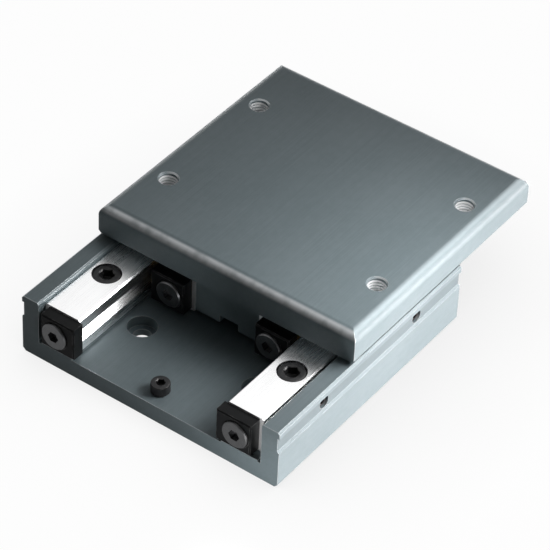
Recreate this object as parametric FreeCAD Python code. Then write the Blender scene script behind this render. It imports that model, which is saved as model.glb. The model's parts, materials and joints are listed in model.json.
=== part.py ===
"""Manual linear slide: a table that rolls along a channel base on two pairs of V-groove rails with crossed rollers.

Millimetres. +Z is up and +Y runs along the slide, away from its front end. The origin is the centre of the base's
underside. The table stands at the rear end of its travel.
"""
import FreeCAD
import Part
import math
import os
from FreeCAD import Placement, Rotation, Vector

# Rails and rollers
rail_length = 100.0
rail_width = 15.0
rail_height = 15.0
rail_gap = 3.0
rail_edge_break = 0.6
rail_hole_inset = 25.0
rail_hole_offset = 0.7
roller_diameter = 6.0
roller_end_relief = 0.4
roller_edge_break = 0.3
roller_pitch = 9.0
flank_clearance = 0.03
groove_relief_width = 1.2
groove_relief_depth = 0.4

# Roller cages
cage_side_clearance = 0.7
cage_end_clearance = 0.5
cage_end_web = 2.5
cage_edge_web = 1.1
window_clearance = 0.15

# End plates on the rails
plate_thickness = 5.0
plate_overhang = 1.0
plate_split = 0.6
plate_back_step = 1.7
plate_height_step = 0.8
plate_edge_break = 0.5
plate_recess_depth = 3.1
plate_recess_clearance = 0.25
end_screw_wall = 0.9

# Base
base_width = 110.0
floor_thickness = 7.0
seat_rise = 0.8
seat_step = 0.5
lip_thickness = 7.3
lip_rise = 2.2
lip_edge_break = 0.6
preload_gap = 2.0
root_relief_width = 1.2
root_relief_depth = 0.6
top_edge_break = 0.8
bottom_edge_break = 1.2
flange_height = 2.7
side_groove_height = 5.8
side_groove_depth = 0.8
base_hole_pitch = 50.0
base_hole_diameter = 6.6
base_counterbore_diameter = 11.0
base_counterbore_depth = 4.2

# Table
table_gap = 1.0
table_thickness = 12.0
table_edge_radius = 4.0
table_edge_break = 1.0
table_lower_break = 1.0
rib_clearance = 2.0
table_hole_side_inset = 10.0
table_hole_end_inset = 27.0
table_hole_diameter = 6.8
table_hole_break = 0.45

# Travel stop
stop_inset = 7.2
stop_gap = 0.2
stop_web = 2.2
stop_side_clearance = 0.5
stop_head_clearance = 1.0

# Screws
thread_clearance = 0.05
thread_allowance = 2.0
shank_clearance = 0.3
head_clearance = 0.4
screw_edge_break = 0.4
tip_recess = 1.0
rail_screw_thread = 6.0
rail_screw_head = 10.0
rail_screw_head_height = 6.0
rail_screw_socket = 5.0
rail_screw_sink = 0.2
end_screw_thread = 6.0
end_screw_head = 10.5
end_screw_head_height = 4.0
end_screw_socket = 4.0
end_screw_shank = 12.0
stop_screw_thread = 4.0
stop_screw_head = 7.0
stop_screw_head_height = 4.0
stop_screw_socket = 3.0
preload_thread = 5.0
preload_socket = 2.5
preload_inset = 22.5
preload_recess = 0.8
socket_share = 0.55

# Places along X: the left rail stands against its lip, and the preload screws hold the right one clear of its own,
# so the middle of the guides lies a little left of the base's; roller lines and rib are measured from that middle
lip_x = base_width / 2 - lip_thickness
middle_x = -preload_gap / 2
rail_back_x = lip_x - preload_gap / 2
roller_line_x = rail_back_x - rail_width - rail_gap / 2
rib_half_width = roller_line_x - rail_gap / 2 - rail_width

# Heights, from the floor upwards
seat_z = floor_thickness + seat_rise
roller_line_z = seat_z + rail_height / 2
rail_top_z = seat_z + rail_height
lip_top_z = rail_top_z + lip_rise
table_bottom_z = lip_top_z + table_gap
table_top_z = table_bottom_z + table_thickness
rib_bottom_z = floor_thickness + rib_clearance

# Lengths along Y, and the travel that the stop screws leave to the web under the table's middle
slide_length = rail_length + 2 * (plate_thickness - plate_overhang)
stop_y = slide_length / 2 - stop_inset
travel = stop_y - stop_screw_head / 2 - stop_gap - stop_web / 2
table_y = travel
cage_y = travel / 2
cage_length = rail_length - travel - 2 * cage_end_clearance

# The rail's section, measured from the roller line: u towards the rail's back, v upwards
rail_face_u = rail_gap / 2
rail_back_u = rail_face_u + rail_width
groove_root_u = (roller_diameter + 2 * flank_clearance) / math.sqrt(2)
groove_floor_u = groove_root_u + groove_relief_depth
rail_hole_u = rail_face_u + rail_width / 2 + rail_hole_offset
rail_hole_y = rail_length / 2 - rail_hole_inset
rail_counterbore = rail_screw_head + 2 * head_clearance
rail_counterbore_depth = rail_screw_head_height + rail_screw_sink
rail_screw_reach = seat_z - tip_recess
plate_half_height = rail_height / 2 - plate_height_step
plate_face_y = rail_length / 2 + plate_thickness
end_screw_u = groove_floor_u + end_screw_wall + end_screw_thread / 2
end_screw_grip = plate_thickness - plate_recess_depth
end_screw_seat_y = rail_length / 2 + end_screw_grip

up = Vector(0, 0, 1)
down = Vector(0, 0, -1)
along = Vector(0, 1, 0)
rightward = Vector(1, 0, 0)
sides = {"left": -1, "right": 1}
ends = {"front": -1, "rear": 1}


def prism(outline, length):
    """A solid with one section all along Y, centred on y = 0; the outline is a list of (x, z) corners."""
    corners = [Vector(x, -length / 2, z) for x, z in outline]
    section = Part.Face(Part.makePolygon(corners + corners[:1]))
    return section.extrude(along * length)


def rod(diameter, length, start, direction):
    """A round bar or a drill, from its start along a direction."""
    return Part.makeCylinder(diameter / 2, length, start, direction)


def cut_all(shape, tools):
    """The shape less every tool."""
    return shape.cut(tools).removeSplitter()


def hexagon(across_flats, depth, top_z):
    """A hexagonal key socket, from top_z downwards."""
    radius = across_flats / math.sqrt(3)
    angles = [math.radians(60 * corner) for corner in range(7)]
    corners = [Vector(radius * math.cos(a), radius * math.sin(a), top_z) for a in angles]
    return Part.Face(Part.makePolygon(corners)).extrude(down * depth)


def turned(outline):
    """A solid turned about Z from edges that run from the axis, outwards and back to the axis."""
    start = outline[0].Vertexes[0].Point
    finish = outline[-1].Vertexes[-1].Point
    section = Part.Face(Part.Wire(outline + [Part.makeLine(finish, start)]))
    return section.revolve(Vector(), up, 360)


def polyline(points):
    """Straight edges in the XZ plane through (x, z) points."""
    corners = [Vector(x, 0, z) for x, z in points]
    return [Part.makeLine(a, b) for a, b in zip(corners, corners[1:])]


def cap_screw(thread, head, head_height, socket, shank):
    """A socket cap screw with its head standing on z = 0 and its shank below."""
    shank_radius = thread / 2 - thread_clearance
    points = [
        (0, -shank),
        (shank_radius - screw_edge_break, -shank),
        (shank_radius, screw_edge_break - shank),
        (shank_radius, 0),
        (head / 2, 0),
        (head / 2, head_height - screw_edge_break),
        (head / 2 - screw_edge_break, head_height),
        (0, head_height),
    ]
    return turned(polyline(points)).cut(hexagon(socket, socket_share * head_height, head_height))


def set_screw(thread, length, socket):
    """A headless screw that stands on its point at z = 0, with its socket at the top."""
    radius = thread / 2 - thread_clearance
    points = [
        (0, 0),
        (radius - 2 * screw_edge_break, 0),
        (radius, 2 * screw_edge_break),
        (radius, length - screw_edge_break),
        (radius - screw_edge_break, length),
        (0, length),
    ]
    return turned(polyline(points)).cut(hexagon(socket, socket_share * length, length))


def seated(shape, point, head_direction):
    """A copy of a screw with its z = 0 at a point and its head pointing along a direction."""
    copy = shape.copy()
    copy.Placement = Placement(point, Rotation(up, head_direction))
    return copy


def placed(shape, placement):
    """A copy of a shape carried by a placement on top of its own."""
    copy = shape.copy()
    copy.Placement = placement.multiply(copy.Placement)
    return copy


def guide(side, level, y):
    """Carries a piece made about the roller line to its side; inner pieces are the outer ones turned over."""
    half_turn = Rotation(up, 0 if side == "right" else 180)
    turn_over = Rotation(along, 0 if level == "outer" else 180)
    to_line = Placement(Vector(roller_line_x, 0, roller_line_z), turn_over)
    return Placement(Vector(middle_x, y, 0), half_turn).multiply(to_line)


def rail():
    """A ground rail: one V-groove with a relieved root, two counterbored holes, and a tapped hole in each end."""
    half_height = rail_height / 2
    half_relief = groove_relief_width / 2
    lip_v = groove_root_u - rail_face_u
    upper = [
        (rail_back_u, half_height - rail_edge_break),
        (rail_back_u - rail_edge_break, half_height),
        (rail_face_u + rail_edge_break, half_height),
        (rail_face_u, half_height - rail_edge_break),
        (rail_face_u, lip_v),
        (groove_root_u - half_relief, half_relief),
        (groove_floor_u, half_relief),
    ]
    lower = [(u, -v) for u, v in reversed(upper)]
    drills = []
    for y in (-rail_hole_y, rail_hole_y):
        foot = Vector(rail_hole_u, y, -half_height)
        seat = Vector(rail_hole_u, y, half_height - rail_counterbore_depth)
        drills.append(rod(rail_screw_thread + 2 * shank_clearance, rail_height, foot, up))
        drills.append(rod(rail_counterbore, rail_counterbore_depth, seat, up))
    thread_depth = end_screw_shank - end_screw_grip + thread_allowance
    for end in ends.values():
        start = Vector(end_screw_u, end * rail_length / 2, 0)
        drills.append(rod(end_screw_thread, thread_depth, start, along * -end))
    return cut_all(prism(upper + lower, rail_length), drills)


def rail_screws():
    """The two cap screws of one rail, which reach through it into the base or the table."""
    shank = rail_height - rail_counterbore_depth + rail_screw_reach
    screw = cap_screw(rail_screw_thread, rail_screw_head, rail_screw_head_height, rail_screw_socket, shank)
    seat_v = rail_height / 2 - rail_counterbore_depth
    spots = [Vector(rail_hole_u, y, seat_v) for y in (-rail_hole_y, rail_hole_y)]
    return Part.makeCompound([seated(screw, spot, up) for spot in spots])


def end_plate(end):
    """A flat plate that closes half of the roller gap; its outer face is recessed for the screw's head."""
    face_y = end * plate_face_y
    outline = [
        (plate_split / 2, -plate_half_height),
        (rail_back_u - plate_back_step, -plate_half_height),
        (rail_back_u - plate_back_step, plate_half_height),
        (plate_split / 2, plate_half_height),
    ]
    plate = prism(outline, plate_thickness)
    plate.translate(along * (end * (rail_length + plate_thickness) / 2))
    rim = [edge for edge in plate.Edges if all(abs(v.Y - face_y) < 1e-6 for v in edge.Vertexes)]
    plate = plate.makeChamfer(plate_edge_break, rim)
    centre = Vector(end_screw_u, face_y, 0)
    recess = rod(end_screw_head + 2 * plate_recess_clearance, plate_recess_depth, centre, along * -end)
    hole = rod(end_screw_thread, plate_thickness, centre, along * -end)
    return plate.cut([recess, hole])


def end_screws():
    """One low-head cap screw at each end of a rail, through its end plate."""
    screw = cap_screw(end_screw_thread, end_screw_head, end_screw_head_height, end_screw_socket, end_screw_shank)
    places = [(Vector(end_screw_u, end * end_screw_seat_y, 0), along * end) for end in ends.values()]
    return Part.makeCompound([seated(screw, point, direction) for point, direction in places])


def roller_places():
    """Where the rollers stand along the cage, evenly pitched about its middle."""
    room = cage_length - 2 * cage_end_web - roller_diameter
    count = int(room / roller_pitch) + 1
    return [(number - (count - 1) / 2) * roller_pitch for number in range(count)]


def roller_cage():
    """A flat strip down the middle of the roller gap, with one window for each roller."""
    thickness = rail_gap - 2 * cage_side_clearance
    roller_reach = (2 * roller_diameter - roller_end_relief) / math.sqrt(2)
    window_height = roller_reach + 2 * window_clearance
    window_length = roller_diameter + 2 * window_clearance
    height = window_height + 2 * cage_edge_web
    strip = Part.makeBox(thickness, cage_length, height, Vector(-thickness / 2, -cage_length / 2, -height / 2))
    windows = []
    for y in roller_places():
        corner = Vector(-thickness / 2, y - window_length / 2, -window_height / 2)
        windows.append(Part.makeBox(thickness, window_length, window_height, corner))
    return strip.cut(windows)


def roller():
    """A short roller with broken edges, standing on z = 0."""
    radius = roller_diameter / 2
    length = roller_diameter - roller_end_relief
    points = [
        (0, 0),
        (radius - roller_edge_break, 0),
        (radius, roller_edge_break),
        (radius, length - roller_edge_break),
        (radius - roller_edge_break, length),
        (0, length),
    ]
    return turned(polyline(points))


def rollers():
    """The rollers of one cage in turn, whose axes lean 45 degrees, one way and then the other."""
    half_length = (roller_diameter - roller_end_relief) / 2
    found = []
    for number, y in enumerate(roller_places()):
        lean = Vector(1, 0, 1 if number % 2 else -1).normalize()
        found.append(seated(roller(), Vector(0, y, 0) - lean * half_length, lean))
    return found


def base_half(seat_edge_x):
    """One half of the base's section, from the underside, round the lip, to the inner edge of the rail's seat."""
    wall_x = base_width / 2
    groove_x = wall_x - side_groove_depth
    groove_top = lip_top_z - flange_height
    groove_bottom = groove_top - side_groove_height
    relief_x = lip_x - root_relief_width
    relief_z = seat_z - root_relief_depth
    return [
        (wall_x - bottom_edge_break, 0),
        (wall_x, bottom_edge_break),
        (wall_x, groove_bottom - side_groove_depth),
        (groove_x, groove_bottom),
        (groove_x, groove_top),
        (wall_x, groove_top),
        (wall_x, lip_top_z - top_edge_break),
        (wall_x - top_edge_break, lip_top_z),
        (lip_x + lip_edge_break, lip_top_z),
        (lip_x, lip_top_z - lip_edge_break),
        (lip_x, relief_z),
        (relief_x, relief_z),
        (relief_x, seat_z),
        (seat_edge_x, seat_z),
        (seat_edge_x, floor_thickness),
    ]


def base_channel():
    """The base: a channel with rail seats against its lips, drilled for its rails, its stops and its own bolts."""
    seat_edge = rail_back_x - rail_width + seat_step
    right = base_half(seat_edge + middle_x)
    left = [(-x, z) for x, z in reversed(base_half(seat_edge - middle_x))]
    drills = []
    half_pitch = base_hole_pitch / 2
    for x in (-half_pitch, half_pitch):
        for y in (-half_pitch, half_pitch):
            seat = Vector(x, y, floor_thickness - base_counterbore_depth)
            drills.append(rod(base_hole_diameter, floor_thickness, Vector(x, y, 0), up))
            drills.append(rod(base_counterbore_diameter, base_counterbore_depth, seat, up))
    screw_x = roller_line_x + rail_hole_u
    for x in (middle_x - screw_x, middle_x + screw_x):
        for y in (-rail_hole_y, rail_hole_y):
            drills.append(rod(rail_screw_thread, seat_z, Vector(x, y, 0), up))
    for y in (-stop_y, stop_y):
        drills.append(rod(stop_screw_thread, floor_thickness, Vector(0, y, 0), up))
    for spot in preload_spots():
        drills.append(rod(preload_thread, preload_gap + lip_thickness, spot, rightward))
    return cut_all(prism(right + left, slide_length), drills)


def preload_spots():
    """Where the preload screws press on the right rail's back, level with the middle of the side groove."""
    y = rail_length / 2 - preload_inset
    z = lip_top_z - flange_height - side_groove_height / 2
    x = middle_x + rail_back_x
    return [Vector(x, -y, z), Vector(x, y, z)]


def preload_screws():
    """Two set screws in the right lip, a little below the floor of its side groove, with their points on the rail."""
    length = preload_gap + lip_thickness - side_groove_depth - preload_recess
    screw = set_screw(preload_thread, length, preload_socket)
    return Part.makeCompound([seated(screw, spot, rightward) for spot in preload_spots()])


def stop_screws():
    """A cap screw near each end of the floor, whose head stops the web under the table."""
    shank = floor_thickness - tip_recess
    screw = cap_screw(stop_screw_thread, stop_screw_head, stop_screw_head_height, stop_screw_socket, shank)
    spots = [Vector(0, y, floor_thickness) for y in (-stop_y, stop_y)]
    return Part.makeCompound([seated(screw, spot, up) for spot in spots])


def mirrored(right):
    """A closed outline from its right half, listed from the bottom upwards."""
    return right + [(-x, z) for x, z in reversed(right)]


def table_top():
    """The plate over the lips, with rounded upper long edges and broken lower ones."""
    wall_x = base_width / 2
    right = [
        (wall_x - table_lower_break, table_bottom_z),
        (wall_x, table_bottom_z + table_lower_break),
        (wall_x, table_top_z),
    ]
    plate = prism(mirrored(right), slide_length)
    long_edges = [
        edge
        for edge in plate.Edges
        if all(abs(v.Z - table_top_z) < 1e-6 and abs(abs(v.X) - base_width / 2) < 1e-6 for v in edge.Vertexes)
        and edge.Length > slide_length / 2
    ]
    return plate.makeFillet(table_edge_radius, long_edges)


def table_tee():
    """The tee under the plate, as long as the rails: a pad on the inner rails and a rib between them."""
    pad_x = roller_line_x - rail_gap / 2
    right = [
        (rib_half_width, rib_bottom_z),
        (rib_half_width, rail_top_z),
        (pad_x, rail_top_z),
        (pad_x, table_bottom_z),
    ]
    tee = prism(mirrored(right), rail_length)
    tee.translate(rightward * middle_x)
    return tee


def table_plate():
    """The table: plate and tee in one, with broken end edges, tapped holes, and a stop slot along half the rib."""
    tools = [end_edge_cutter(end) for end in ends.values()]
    tools += [stop_slot(end) for end in ends.values()]
    hole_x = base_width / 2 - table_hole_side_inset
    hole_y = slide_length / 2 - table_hole_end_inset
    for x in (-hole_x, hole_x):
        for y in (-hole_y, hole_y):
            tools.append(rod(table_hole_diameter, table_thickness, Vector(x, y, table_bottom_z), up))
            tools.append(hole_break(Vector(x, y, table_top_z)))
    thread_x = roller_line_x - rail_hole_u
    for x in (middle_x - thread_x, middle_x + thread_x):
        for y in (-rail_hole_y, rail_hole_y):
            depth = rail_screw_reach + thread_allowance
            tools.append(rod(rail_screw_thread, depth, Vector(x, y, rail_top_z), up))
    return cut_all(table_top().fuse(table_tee()), tools)


def end_edge_cutter(end):
    """A wedge along the table's top end edge, which leaves a narrow flat at 45 degrees."""
    y = end * slide_length / 2
    corners = [
        Vector(-base_width / 2, y, table_top_z),
        Vector(-base_width / 2, y, table_top_z - table_edge_break),
        Vector(-base_width / 2, y - end * table_edge_break, table_top_z),
    ]
    return Part.Face(Part.makePolygon(corners + corners[:1])).extrude(rightward * base_width)


def stop_slot(end):
    """The slot under the rib that passes over a stop screw's head, up to the web in the table's middle."""
    width = stop_screw_head + 2 * stop_side_clearance
    length = (rail_length - stop_web) / 2
    ceiling_z = floor_thickness + stop_screw_head_height + stop_head_clearance
    low_y = stop_web / 2 if end > 0 else -rail_length / 2
    return Part.makeBox(width, length, ceiling_z - rib_bottom_z, Vector(-width / 2, low_y, rib_bottom_z))


def hole_break(mouth):
    """A short countersink at a tapped hole's mouth."""
    inner = table_hole_diameter / 2
    return Part.makeCone(inner + table_hole_break, inner, table_hole_break, mouth, down)


def build():
    """Every piece of the slide by name, where it stands with the table at the rear end of its travel."""
    nodes = {"base_channel": base_channel(), "preload_screws": preload_screws(), "stop_screws": stop_screws()}
    nodes["table_plate"] = placed(table_plate(), Placement(along * table_y, Rotation()))
    for side, turn in sides.items():
        for level, y in (("outer", 0), ("inner", table_y)):
            carry = guide(side, level, y)
            nodes[f"{level}_rail_{side}"] = placed(rail(), carry)
            nodes[f"{level}_rail_screws_{side}"] = placed(rail_screws(), carry)
            nodes[f"{level}_end_screws_{side}"] = placed(end_screws(), carry)
            for name, end in ends.items():
                nodes[f"{level}_end_plate_{side}_{name}"] = placed(end_plate(end * turn), carry)
        carry = guide(side, "outer", cage_y)
        nodes[f"roller_cage_{side}"] = placed(roller_cage(), carry)
        for number, shape in enumerate(rollers()[::turn], 1):
            nodes[f"roller_{side}_{number}"] = placed(shape, carry)
    return nodes


os.makedirs("parts", exist_ok=True)
for name, shape in build().items():
    shape.exportStep(f"parts/{name}.step")
print(f"travel each way {travel:.2f} mm, cage {cage_length:.2f} mm, roller lines {2 * roller_line_x:.2f} mm apart")
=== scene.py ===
"""Looks of a manual linear slide: a flat table that rolls by hand along a channel-shaped base.

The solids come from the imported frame, in metres, and stay as they are. This script gives them their
finishes, makes the threads, knurls and sockets that the solids leave plain, and stands the slide on a
pale floor in soft light.
"""
import json
import math

import bpy
import numpy as np
from mathutils import Matrix, Vector


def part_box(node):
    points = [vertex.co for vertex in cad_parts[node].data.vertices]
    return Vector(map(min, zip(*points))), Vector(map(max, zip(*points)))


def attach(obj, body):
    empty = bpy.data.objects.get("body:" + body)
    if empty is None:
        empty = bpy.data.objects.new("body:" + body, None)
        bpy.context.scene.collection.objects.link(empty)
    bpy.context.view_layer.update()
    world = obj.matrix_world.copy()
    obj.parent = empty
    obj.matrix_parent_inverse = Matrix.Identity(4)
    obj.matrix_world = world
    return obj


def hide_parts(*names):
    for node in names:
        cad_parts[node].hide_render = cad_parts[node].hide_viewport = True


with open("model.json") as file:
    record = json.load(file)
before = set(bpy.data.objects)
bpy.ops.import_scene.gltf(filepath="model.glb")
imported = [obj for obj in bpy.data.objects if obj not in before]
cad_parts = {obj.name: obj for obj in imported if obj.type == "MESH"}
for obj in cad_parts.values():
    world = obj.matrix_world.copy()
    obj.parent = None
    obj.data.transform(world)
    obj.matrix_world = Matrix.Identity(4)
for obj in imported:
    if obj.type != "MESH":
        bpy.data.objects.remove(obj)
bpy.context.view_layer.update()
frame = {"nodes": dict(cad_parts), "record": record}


# Base channel: one bar of aluminium, milled to a channel with two lips and anodised a dark slate grey.
# It lies on its flat underside and carries everything else. The satin skin keeps faint milling lines
# along the slide. Its edges are a little paler, partly for wear and partly as a painted highlight, and the
# floors of the grooves along its sides carry painted shade.
class Shade:
    """A socket of a material's nodes. Sums on it add Math nodes, and add() puts in any other node."""

    def __init__(self, socket):
        self.socket = socket

    def add(self, kind, settings, inlets, outlet=0):
        """Adds a node of that kind: first its settings, then the values or links of its sockets."""
        node = self.socket.id_data.nodes.new("ShaderNode" + kind)
        for name, value in settings.items():
            setattr(node, name, value)
        for name, value in inlets.items():
            feed(node.inputs[name], value)
        return Shade(node.outputs[outlet])

    def combine(self, operation, first, second):
        """The result of a Math node on two values."""
        return self.add("Math", {"operation": operation}, {0: first, 1: second})

    def __add__(self, other):
        return self.combine("ADD", self, other)

    def __sub__(self, other):
        return self.combine("SUBTRACT", self, other)

    def __rsub__(self, other):
        return self.combine("SUBTRACT", other, self)

    def __mul__(self, other):
        return self.combine("MULTIPLY", self, other)

    __radd__ = __add__
    __rmul__ = __mul__


def feed(socket, value):
    """Links a shade to a socket, or sets a plain number or colour on it."""
    if isinstance(value, Shade):
        socket.id_data.links.new(value.socket, socket)
    elif isinstance(value, tuple) and len(value) == 3 and socket.type == "RGBA":
        socket.default_value = (*value, 1.0)
    else:
        socket.default_value = value


def new_finish(name, **constants):
    """A material with a Principled shader: the material, its sockets with the constants set on them, and
    a shade of the place on the object."""
    material = bpy.data.materials.new(name)
    material.use_nodes = True
    sockets = material.node_tree.nodes["Principled BSDF"].inputs
    for socket, value in constants.items():
        feed(sockets[socket.replace("_", " ")], value)
    place = Shade(material.node_tree.nodes.new("ShaderNodeTexCoord").outputs["Object"])
    return material, sockets, place


def grain(place, x, y, z, detail=2.0):
    """Noise from 0 to 1, in grains about x, y and z metres long."""
    drawn = place.add("Mapping", {}, {"Vector": place, "Scale": (1 / x, 1 / y, 1 / z)})
    return drawn.add("TexNoise", {}, {"Vector": drawn, "Scale": 1.0, "Detail": detail})


def fade(value, start, end):
    """0 up to start, 1 from end on, and a smooth rise between them."""
    limits = {"Value": value, "From Min": start, "From Max": end}
    return value.add("MapRange", {"interpolation_type": "SMOOTHSTEP"}, limits)


def blend(share, first, second):
    """The first colour where the share is 0 and the second where it is 1."""
    return share.add("Mix", {"data_type": "RGBA"}, {0: share, 6: first, 7: second}, 2)


def along(direction, other):
    """How far a direction points along another: the dot product of the two."""
    return direction.add("VectorMath", {"operation": "DOT_PRODUCT"}, {0: direction, 1: other}, "Value")


ACROSS = (1.0, 0.0, 0.0)
LENGTHWISE = (0.0, 1.0, 0.0)
UP = (0.0, 0.0, 1.0)


def edge_rub(place, width):
    """1 along an edge and 0 further than that width from it: how far the rounded normal leaves the true
    one. It marks rubbed edges, and on the anodised parts a painted highlight too. An edge that looks down
    is out of reach of hands and stays at 0."""
    rounded = place.add("Bevel", {"samples": 6}, {"Radius": width})
    true = place.add("NewGeometry", {}, {}, "Normal")
    within_reach = fade(along(rounded, UP), -0.35, -0.05)
    return fade(1 - along(true, rounded), 0.01, 0.1) * within_reach


def square_to(place, direction):
    """1 on faces square to a direction, whichever way round they look, and 0 on faces along it."""
    facing = along(place.add("NewGeometry", {}, {}, "Normal"), direction)
    return fade(facing * facing, 0.7, 0.95)


def end_edge_highlight(place):
    """Mask of a painted highlight: 1 halfway round the rounded edges between a top and an end, from the
    normal's upward part times its lengthwise part, squared."""
    normal = place.add("NewGeometry", {}, {}, "Normal")
    up = along(normal, UP)
    out = along(normal, LENGTHWISE)
    return fade(up * up * out * out, 0.06, 0.22) * fade(up, 0.1, 0.3)


def groove_shade_mask(place, half_width):
    """Where shade is painted: 1 on the floors of the grooves along the base's sides, which lie about a
    millimetre in from its half width. Squares of x are compared, so that both sides count."""
    x = place.add("SeparateXYZ", {}, {0: place}, "X")
    squared = x * x
    below_side = 1 - fade(squared, (half_width - 0.0006) ** 2, (half_width - 0.0003) ** 2)
    near_side = fade(squared, (half_width - 0.002) ** 2, (half_width - 0.0015) ** 2)
    return below_side * near_side * square_to(place, ACROSS)


def relief(height, depth):
    """A bump of that depth in metres from a height from 0 to 1."""
    return height.add("Bump", {}, {"Height": height, "Strength": 1.0, "Distance": depth})


def dress(material, *names):
    """Puts a finish on CAD nodes."""
    for name in names:
        materials = frame["nodes"][name].data.materials
        materials.clear()
        materials.append(material)


def anodised_finish(name, rubbed, groove_half_width=None):
    """Anodised aluminium: blotches of two greys, fine blasted grain, milling lines along Y, edges made
    pale partly by wear and partly as a painted highlight and, where a half width is given, painted shade
    on the floors of the grooves along the sides."""
    material, sockets, place = new_finish(name, Specular_IOR_Level=0.25)
    slate_dark = (0.136, 0.176, 0.19)
    slate_light = (0.179, 0.22, 0.236)
    groove_painted_shade = (0.07, 0.09, 0.1)
    blotch = grain(place, 0.03, 0.05, 0.03, 3.0)
    lines = grain(place, 0.0003, 0.04, 0.0003, 3.0)
    dust = grain(place, 0.0002, 0.0002, 0.0002, 1.0)
    # Pale edge marks: partly wear and partly a painted highlight. The band halfway round the rounded edges
    # between the top and the ends is a painted highlight only.
    edge_patchiness = 0.6 + fade(grain(place, 0.004, 0.012, 0.004), 0.25, 0.6) * 0.4
    rub = (edge_rub(place, 0.0005) + end_edge_highlight(place)) * edge_patchiness
    mottle = grain(place, 0.0022, 0.0032, 0.0022)
    tone = fade(blotch * 0.3 + mottle * 0.15 + lines * 0.3 + dust * 0.25, 0.34, 0.66)
    colour = blend(tone, slate_dark, slate_light)
    if groove_half_width:
        # Painted shade: the floors of the side grooves are darkened, as if the overhang above them shaded
        # them.
        colour = blend(groove_shade_mask(place, groove_half_width) * 0.4, colour, groove_painted_shade)
    feed(sockets["Base Color"], blend(rub * 0.75, colour, rubbed))
    feed(sockets["Metallic"], 0.06 + rub * 0.4)
    feed(sockets["Roughness"], 0.36 + lines * 0.16 + dust * 0.1 - rub * 0.1)
    feed(sockets["Normal"], relief(dust * 0.5 + lines * 0.5, 0.000016))
    return material


base_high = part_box("base_channel")[1]
# The pale edge colour of the base stands partly for wear and partly for a painted highlight.
base_rub_and_highlight = (0.42, 0.44, 0.45)
dress(anodised_finish("anodised_base", base_rub_and_highlight, base_high.x), "base_channel")


# Outer rails: two bars of hardened steel, ground bright all round, each with a V-groove along its inner
# side. They stand on the base's seats beside its lips. The grinding leaves fine lines along the bar.
def ground_finish(name):
    """Ground steel: hair-fine lines along Y in its tone, roughness and relief, a faint haze of handling,
    and duller ends."""
    material, sockets, place = new_finish(name, Metallic=1.0)
    lines = grain(place, 0.00008, 0.025, 0.00008, 3.0)
    haze = grain(place, 0.008, 0.02, 0.008)
    dull_ends = square_to(place, LENGTHWISE)
    tone = fade(lines * 0.7 + haze * 0.3, 0.3, 0.7)
    feed(sockets["Base Color"], blend(tone, (0.88, 0.88, 0.885), (0.96, 0.96, 0.96)))
    feed(sockets["Roughness"], 0.16 + lines * 0.14 + haze * 0.1 + dull_ends * 0.22)
    feed(sockets["Normal"], relief(lines, 0.000002))
    return material


SIDES = ("left", "right")
ground_steel = ground_finish("ground_steel")
dress(ground_steel, *(f"outer_rail_{side}" for side in SIDES))


# Rail screws: M6 socket cap screws of black-oxide steel, sunk in counterbores, which hold each rail to its
# seat. The head has a knurled rim, a broken top edge and a hexagon socket, and the shank is threaded.
def ring_mesh(name, rings, start, end):
    """Joins each ring of points to the next with quads and closes the ends with fans to single points.
    The rings have the shape (copies, rings, points, 3), and start and end hold one point for each copy."""
    copies, count, points = rings.shape[:3]
    vertices = np.concatenate([start[:, None], rings.reshape(copies, -1, 3), end[:, None]], axis=1)
    ring, point = np.meshgrid(np.arange(count - 1), np.arange(points), indexing="ij")
    here = 1 + ring * points + point
    beside = 1 + ring * points + (point + 1) % points
    quads = np.stack([here, beside, beside + points, here + points], axis=-1).reshape(-1, 4)
    rim = np.arange(points)
    after = (rim + 1) % points
    last = 1 + (count - 1) * points
    first_fan = np.stack([np.zeros_like(rim), 1 + after, 1 + rim], axis=-1)
    last_fan = np.stack([np.full_like(rim, last + points), last + rim, last + after], axis=-1)
    fans = np.concatenate([first_fan, last_fan])
    steps = np.arange(copies)[:, None, None] * vertices.shape[1]
    faces = (quads + steps).reshape(-1, 4).tolist() + (fans + steps).reshape(-1, 3).tolist()
    mesh = bpy.data.meshes.new(name)
    mesh.from_pydata(vertices.reshape(-1, 3).tolist(), [], faces)
    mesh.polygons.foreach_set("use_smooth", np.ones(len(mesh.polygons), bool))
    mesh.set_sharp_from_angle(angle=math.radians(32))
    piece = bpy.data.objects.new(name, mesh)
    bpy.context.scene.collection.objects.link(piece)
    return piece


POINTS_ROUND = 144
ROWS_A_PITCH = 6
KNURLS = 36
SIXTH_TURN = math.tau / 6


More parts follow.
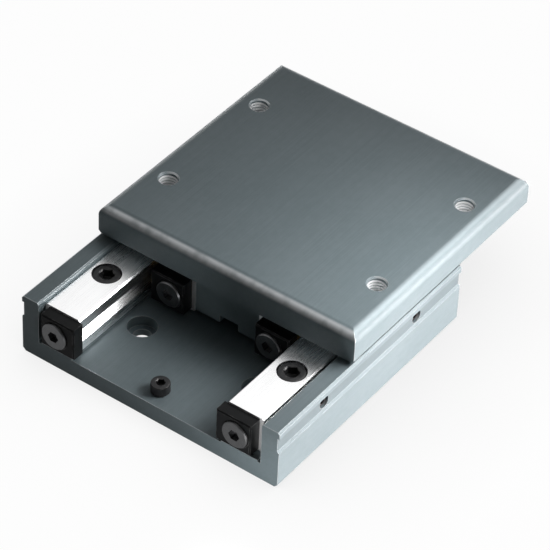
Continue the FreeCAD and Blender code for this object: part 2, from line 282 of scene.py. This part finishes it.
def cap_screws(node, body, material, thread, pitch, head_height, hexagon, head_up=True):
    """The two cap screws of a CAD node, as one turned surface each. Round the axis the radius is the
    profile's, less a triangle wave that climbs one pitch a turn on the thread and a cosine wave on the
    knurled rim, and in the socket it is a hexagon's. Up the axis the profile runs from the tip to the
    rim and down into the socket."""
    low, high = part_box(node)
    head = (high.x - low.x) / 2
    length = high.z - low.z - head_height
    half = thread / 2
    thread_depth = 0.58 * pitch
    knurl_depth = 0.025 * head
    bevel = 0.09 * head
    socket_depth = 0.55 * head_height
    drill_point = 0.15 * hexagon
    neck = 0.0001

    # Each row of the profile: height, radius, depth of thread, depth of knurl, share of hexagon.
    tip = [
        (-length, half - 0.75 * pitch, 0, 0, 0),
        (-length + 0.5 * pitch, half - 0.25 * pitch, 0, 0, 0),
    ]
    climb = np.arange(-length + 0.9 * pitch, -0.8 * pitch, pitch / ROWS_A_PITCH)
    none = np.zeros_like(climb)
    shank = np.stack([climb, none + half, none + thread_depth, none, none], axis=1)
    rim = [
        (-0.3 * pitch, half, 0, 0, 0),
        (0, half + neck, 0, 0, 0),
        (0, head - bevel, 0, 0, 0),
        (bevel, head, 0, 0, 0),
        (1.4 * bevel, head, 0, knurl_depth, 0),
        (head_height - 2.2 * bevel, head, 0, knurl_depth, 0),
        (head_height - 1.8 * bevel, head, 0, 0, 0),
        (head_height - bevel, head - 0.15 * bevel, 0, 0, 0),
        (head_height - 0.3 * bevel, head - 0.6 * bevel, 0, 0, 0),
        (head_height, head - 1.5 * bevel, 0, 0, 0),
        (head_height, 0.6 * hexagon, 0, 0, 0),
        (head_height - 0.06 * hexagon, hexagon / 2, 0, 0, 1),
        (head_height - socket_depth, hexagon / 2, 0, 0, 1),
    ]
    rows = np.concatenate([np.array(tip), shank, np.array(rim)])
    height, radius, cut, ridge, six = (column[:, None] for column in rows.T)
    turn = np.arange(POINTS_ROUND) * math.tau / POINTS_ROUND
    climbing = (height / pitch - turn / math.tau) % 1.0
    knurled = ridge * (0.5 - 0.5 * np.cos(KNURLS * turn))
    round_radius = radius - cut * 2 * np.abs(climbing - 0.5) - knurled
    six_radius = radius / np.cos((turn + SIXTH_TURN / 2) % SIXTH_TURN - SIXTH_TURN / 2)
    reach = (1 - six) * round_radius + six * six_radius

    sign = 1 if head_up else -1
    under_head = high.z - head_height if head_up else low.z + head_height
    middle = (low.x + high.x) / 2
    seats = np.array([[middle, low.y + head, under_head], [middle, high.y - head, under_head]])
    surface = [reach * np.cos(turn), sign * reach * np.sin(turn), sign * height + 0 * turn]
    start = seats.copy()
    start[:, 2] -= sign * length
    end = seats.copy()
    end[:, 2] += sign * (head_height - socket_depth - drill_point)
    piece = ring_mesh(node + "_turned", seats[:, None, None] + np.stack(surface, axis=-1), start, end)
    piece.data.materials.append(material)
    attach(piece, body)
    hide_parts(node)


def black_oxide_finish(name):
    """Black oxide on steel: near black, oily sheen in patches, and brown-grey where the edges are rubbed
    through."""
    material, sockets, place = new_finish(name, Specular_IOR_Level=0.25)
    patch = grain(place, 0.0012, 0.0012, 0.0012, 3.0)
    rub = edge_rub(place, 0.00025) * fade(patch, 0.3, 0.6)
    oxide = blend(patch, (0.01, 0.01, 0.011), (0.028, 0.028, 0.03))
    feed(sockets["Base Color"], blend(rub, oxide, (0.16, 0.15, 0.145)))
    feed(sockets["Metallic"], rub * 0.6)
    feed(sockets["Roughness"], 0.3 + patch * 0.2)
    feed(sockets["Normal"], relief(patch, 0.00001))
    return material


black_oxide = black_oxide_finish("black_oxide")
RAIL_SCREW = {"thread": 0.0059, "pitch": 0.001, "head_height": 0.006, "hexagon": 0.005}
for side in SIDES:
    cap_screws(f"outer_rail_screws_{side}", "base", black_oxide, **RAIL_SCREW)


# Roller cages and rollers: strips of stamped brass with a window for each roller, and between the rails six
# short rollers a side of hardened steel, lapped to a mirror and leaning by turns to the left and the right.
def brass_finish(name):
    """Stamped brass: rolled lines along Y and brown tarnish that gathers in patches."""
    material, sockets, place = new_finish(name, Metallic=1.0)
    lines = grain(place, 0.0002, 0.012, 0.0002)
    tarnish = fade(grain(place, 0.004, 0.006, 0.004, 4.0), 0.35, 0.7)
    feed(sockets["Base Color"], blend(tarnish, (0.74, 0.56, 0.27), (0.5, 0.36, 0.17)))
    feed(sockets["Roughness"], 0.28 + tarnish * 0.2 + lines * 0.08)
    feed(sockets["Normal"], relief(lines, 0.000005))
    return material


def lapped_finish(name):
    """Lapped steel: a near mirror with a film of oil in faint patches."""
    material, sockets, place = new_finish(name, Metallic=1.0)
    film = grain(place, 0.002, 0.002, 0.002, 3.0)
    feed(sockets["Base Color"], blend(film, (0.72, 0.73, 0.75), (0.84, 0.84, 0.85)))
    feed(sockets["Roughness"], 0.08 + film * 0.1)
    return material


ROLLERS_A_SIDE = 6
brass = brass_finish("cage_brass")
lapped_steel = lapped_finish("lapped_steel")
for side in SIDES:
    dress(brass, f"roller_cage_{side}")
    dress(lapped_steel, *(f"roller_{side}_{number + 1}" for number in range(ROLLERS_A_SIDE)))


# Outer end plates: small blocks of blackened steel, one on each end of each rail. They stop the cages from
# leaving the rails, and each has a round recess for the head of its screw.
def blackened_finish(name):
    """Blackened steel: soft black with a fine blasted grain and a thin grey line along each rubbed edge."""
    material, sockets, place = new_finish(name, Specular_IOR_Level=0.08)
    dust = grain(place, 0.0002, 0.0002, 0.0002, 1.0)
    patch = grain(place, 0.003, 0.003, 0.003, 3.0)
    rub = edge_rub(place, 0.0003) * fade(patch, 0.35, 0.6)
    black = blend(patch, (0.004, 0.0045, 0.005), (0.012, 0.0125, 0.013))
    feed(sockets["Base Color"], blend(rub * 0.8, black, (0.2, 0.2, 0.2)))
    feed(sockets["Metallic"], rub * 0.5)
    feed(sockets["Roughness"], 0.34 + dust * 0.15)
    feed(sockets["Normal"], relief(dust, 0.000015))
    return material


ENDS = ("front", "rear")
blackened = blackened_finish("blackened_steel")
dress(blackened, *(f"outer_end_plate_{side}_{end}" for side in SIDES for end in ENDS))


# End screws: low-head cap screws of zinc-plated steel, one through each end plate into the rail's end.
# Each head lies in the plate's round recess. The plating is dull, with turning marks in rings.
def zinc_finish(name, node):
    """Dull zinc: cloudy greys and rings about the screws' axis, which runs along Y through the middle of
    the node. The rings are a sine of the distance from it."""
    material, sockets, place = new_finish(name, Metallic=1.0)
    low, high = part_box(node)
    to_axis = (-(low.x + high.x) / 2, 0.0, -(low.z + high.z) / 2)
    ring_pitch = 0.0004
    centred = place.add("Mapping", {}, {"Vector": place, "Location": to_axis, "Scale": (1.0, 0.0, 1.0)})
    reach = centred.add("VectorMath", {"operation": "LENGTH"}, {0: centred}, "Value")
    rings = 0.5 + 0.5 * reach.add("Math", {"operation": "SINE"}, {0: reach * (math.tau / ring_pitch)})
    cloud = grain(place, 0.0015, 0.0015, 0.0015, 3.0)
    rub = edge_rub(place, 0.0003)
    tone = fade(cloud * 0.5 + rings * 0.5, 0.2, 0.8)
    feed(sockets["Base Color"], blend(tone, (0.09, 0.092, 0.095), (0.16, 0.162, 0.165)))
    feed(sockets["Roughness"], 0.3 + cloud * 0.18 - rub * 0.08)
    feed(sockets["Normal"], relief(rings * 0.7 + cloud * 0.3, 0.000014))
    return material


for side in SIDES:
    dress(zinc_finish(f"dull_zinc_outer_{side}", f"outer_end_screws_{side}"), f"outer_end_screws_{side}")


# Preload screws and stop screws, of black-oxide steel: the preload screws are M5 set screws through the
# right lip, which press the right rail inwards. The stop screws are M4 cap screws in the floor, and the
# table's slot ends against them.
STOP_SCREW = {"thread": 0.0039, "pitch": 0.0007, "head_height": 0.004, "hexagon": 0.003}
cap_screws("stop_screws", "base", black_oxide, **STOP_SCREW)
dress(black_oxide, "preload_screws")


# Table: a plate of aluminium with its long top edges rounded, milled with a rib and a pad below and
# anodised as the base is. Four M8 threads are cut through it near the long edges for the load, and show as
# bright turns.
# The pale edge colour of the table stands partly for wear and partly for a painted highlight, strongest
# along the rounded edges between the top and the ends.
table_rub_and_highlight = (0.68, 0.7, 0.71)
dress(anodised_finish("anodised_table", table_rub_and_highlight), "table_plate")


def thread_turns(name, centres, root, crest, top, bottom, pitch):
    """Thread turns in round holes: a four-sided ridge carried along a helix. Its height above the wall
    rises from nothing over the first half turn and dies away over the last, so that both ends close on
    the wall."""
    points_a_turn = 48
    run_out = 0.5
    flanks = np.array([-0.46, -0.08, 0.08, 0.46])
    inward = np.array([0.0, 1.0, 1.0, 0.0])
    turns = (top - bottom) / pitch - 1.0
    way = np.linspace(0.0, turns, int(turns * points_a_turn) + 1)[:, None]
    grown = np.clip(np.minimum(way, turns - way) / run_out, 0.0, 1.0)
    reach = root - (root - crest) * inward * grown
    height = bottom + pitch * (0.5 + way + flanks * np.maximum(grown, 0.02))
    angle = way * math.tau
    ridge = np.stack([reach * np.cos(angle), reach * np.sin(angle), height], axis=-1)
    rings = centres[:, None, None] + ridge
    return ring_mesh(name, rings, rings[:, 0].mean(axis=1), rings[:, -1].mean(axis=1))


def cut_thread_finish(name):
    """Freshly cut aluminium: bright, with the tap's lines round the turns."""
    material, sockets, place = new_finish(name, Metallic=0.15)
    lines = grain(place, 0.0006, 0.0006, 0.00005, 3.0)
    feed(sockets["Base Color"], blend(lines, (0.84, 0.85, 0.86), (0.95, 0.95, 0.95)))
    feed(sockets["Roughness"], 0.3 + lines * 0.15)
    feed(sockets["Normal"], relief(lines, 0.000006))
    return material


table_low, table_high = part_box("table_plate")
running_gap = 0.001
plate_underside = base_high.z + running_gap
bolts = next(mount for mount in frame["record"]["mounts"] if mount["name"] == "table_bolts")
half_x = bolts["dims"]["spacing_x_mm"] / 2000
half_y = bolts["dims"]["spacing_y_mm"] / 2000
core = bolts["dims"]["hole_r_mm"] / 1000
bolt_centres = np.array([
    [x, bolts["pos_m"][1] + y, 0.0]
    for x in (-half_x, half_x)
    for y in (-half_y, half_y)
])
thread_sunk = 0.00003
thread_rise = 0.00026
thread_inset = 0.0003
threads = thread_turns(
    "table_threads",
    bolt_centres,
    root=core + thread_sunk,
    crest=core - thread_rise,
    top=table_high.z - thread_inset,
    bottom=plate_underside + thread_inset,
    pitch=0.00125,
)
threads.data.materials.append(cut_thread_finish("cut_aluminium"))
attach(threads, "table")


# Inner rails and their fastenings: the same rails, end plates and screws as on the base, turned over and
# held to the table's pad from below.
for side in SIDES:
    dress(ground_steel, f"inner_rail_{side}")
    dress(blackened, *(f"inner_end_plate_{side}_{end}" for end in ENDS))
    cap_screws(f"inner_rail_screws_{side}", "table", black_oxide, **RAIL_SCREW, head_up=False)
    dress(zinc_finish(f"dull_zinc_inner_{side}", f"inner_end_screws_{side}"), f"inner_end_screws_{side}")


# Room and floor: a room that is white behind the slide and dark in front of it, as metal mirrors it, and a
# wide floor of white paper. The paper is white to the camera. The soft shadow round the slide is mostly
# painted into its white glow by ambient occlusion, with a faint shadow cast by the lamps.
def rays(tree, *kinds):
    """1 for rays of those kinds, and 0 for all others."""
    path = tree.nodes.new("ShaderNodeLightPath")
    found, *others = (Shade(path.outputs[f"Is {kind} Ray"]) for kind in kinds)
    for other in others:
        found = found.combine("MAXIMUM", found, other)
    return found


white = (1.0, 1.0, 1.0)
white_wall = (-0.35, 0.45, 0.82)
dark_wall_strength = 0.03
stray_strength = 0.004
world = bpy.data.worlds.new("room")
world.use_nodes = True
bpy.context.scene.world = world
backdrop = world.node_tree.nodes["Background"]
looking = Shade(world.node_tree.nodes.new("ShaderNodeTexCoord").outputs["Generated"])
wall = fade(along(looking, white_wall), -0.1, 0.75) * (1 - dark_wall_strength) + dark_wall_strength
shown = rays(world.node_tree, "Camera")
mirrored = rays(world.node_tree, "Glossy", "Transmission")
room = mirrored * wall + (1 - mirrored) * stray_strength
feed(backdrop.inputs["Color"], white)
feed(backdrop.inputs["Strength"], shown + (1 - shown) * room)

floor_half = 4.0
floor_level = -0.0002
corners = np.array([[-1, -1], [1, -1], [1, 1], [-1, 1]]) * floor_half
floor_mesh = bpy.data.meshes.new("floor")
floor_mesh.from_pydata([(x, y, floor_level) for x, y in corners.tolist()], [], [(0, 1, 2, 3)])
floor = bpy.data.objects.new("floor", floor_mesh)
bpy.context.scene.collection.objects.link(floor)

painted_contact_shadow = (0.78, 0.78, 0.78)
contact_reach = 0.06
paper, _, paper_place = new_finish("white_paper", Base_Color=(0.3, 0.3, 0.3), Roughness=0.9)
lit = Shade(paper.node_tree.nodes["Principled BSDF"].outputs[0])
# Painted shadow: the paper's white glow turns grey near the slide, as far as ambient occlusion finds it
# closed in.
open_sky = paper_place.add("AmbientOcclusion", {"samples": 16}, {"Distance": contact_reach}, "AO")
glow = paper_place.add("Emission", {}, {"Color": blend(open_sky, painted_contact_shadow, white)})
camera_share = rays(paper.node_tree, "Camera") * 0.42
mirror_share = rays(paper.node_tree, "Camera", "Glossy", "Transmission") * 0.56
mixed = lit.add("MixShader", {}, {0: camera_share + mirror_share, 1: lit, 2: glow})
feed(paper.node_tree.nodes["Material Output"].inputs["Surface"], mixed)
floor_mesh.materials.append(paper)


# Lamps: low strips light both sides from below the height of the lips, and a small lamp lights the table's
# right half. One high behind throws the table's shadow into the channel, a tiny one brightens the near
# corner, and a softbox shows only in gloss, as a bright band along the table's right edge.
def soft_lamp(name, place, aim, size, watts, spread=180, colour=white):
    """A flat lamp at a place, turned towards its aim, with its light kept within a spread in degrees."""
    data = bpy.data.lights.new(name, "AREA")
    data.shape = "RECTANGLE"
    data.size, data.size_y = size
    data.energy = watts
    data.spread = math.radians(spread)
    data.color = colour
    lamp = bpy.data.objects.new(name, data)
    bpy.context.scene.collection.objects.link(lamp)
    lamp.location = place
    lamp.visible_camera = False
    lamp.rotation_euler = (Vector(aim) - Vector(place)).to_track_quat("-Z", "Y").to_euler()
    return lamp


warm = (1.0, 0.92, 0.9)
strip_x = 0.42
strip_z = 0.0105
long_strip = (0.48, 0.02)
short_strip = (0.03, 0.02)
front = table_low.y
soft_lamp("right_strip", (strip_x, 0.24, strip_z), (0.03, 0.1, strip_z), long_strip, 4.0, colour=warm)
soft_lamp("front_strip", (strip_x, front, strip_z), (0.03, front, strip_z), short_strip, 1.6, colour=warm)
soft_lamp("right_lamp", (0.115, 0.042, 0.13), (0.03, -0.055, 0.02), (0.1, 0.07), 0.172, spread=140)
soft_lamp("left_strip", (-strip_x, 0.24, strip_z), (-0.03, 0.1, strip_z), long_strip, 0.7)
soft_lamp("high_lamp", (0.0, 0.25, 0.4), (0.0, 0.0, 0.02), (0.25, 0.25), 0.07)
soft_lamp("corner_lamp", (0.062, -0.094, 0.004), (0.03, -0.054, 0.006), (0.016, 0.006), 0.016)
edge_box = soft_lamp("edge_box", (0.319, 0.54, 0.605), (0.054, 0.042, 0.037), (0.4, 0.4), 11.5)
edge_box.visible_diffuse = False


# Camera: a long lens a little over a metre away, which sees the slide from the front right and from above.
# It is tilted slightly about its own line of sight.
aim = Vector((0.0009, 0.0175, 0.0161))
distance = 1.0886
azimuth = math.radians(34.402)
elevation = math.radians(41.093)
tilt = math.radians(2.879)
image_width = 550
focal_pixels = 3090.3
level_share = math.cos(elevation)
back = Vector((math.sin(azimuth) * level_share, -math.cos(azimuth) * level_share, math.sin(elevation)))
level = Vector((math.cos(azimuth), math.sin(azimuth), 0.0))
upright = back.cross(level)
across = level * math.cos(tilt) + upright * math.sin(tilt)
upwards = upright * math.cos(tilt) - level * math.sin(tilt)
lens = bpy.data.cameras.new("long_lens")
lens.sensor_width = 36.0
lens.lens = lens.sensor_width * focal_pixels / image_width
camera = bpy.data.objects.new("camera", lens)
bpy.context.scene.collection.objects.link(camera)
eye = aim + back * distance
camera.matrix_world = Matrix.Translation(eye) @ Matrix((across, upwards, back)).transposed().to_4x4()
bpy.context.scene.camera = camera
bpy.context.scene.view_settings.view_transform = "Standard"
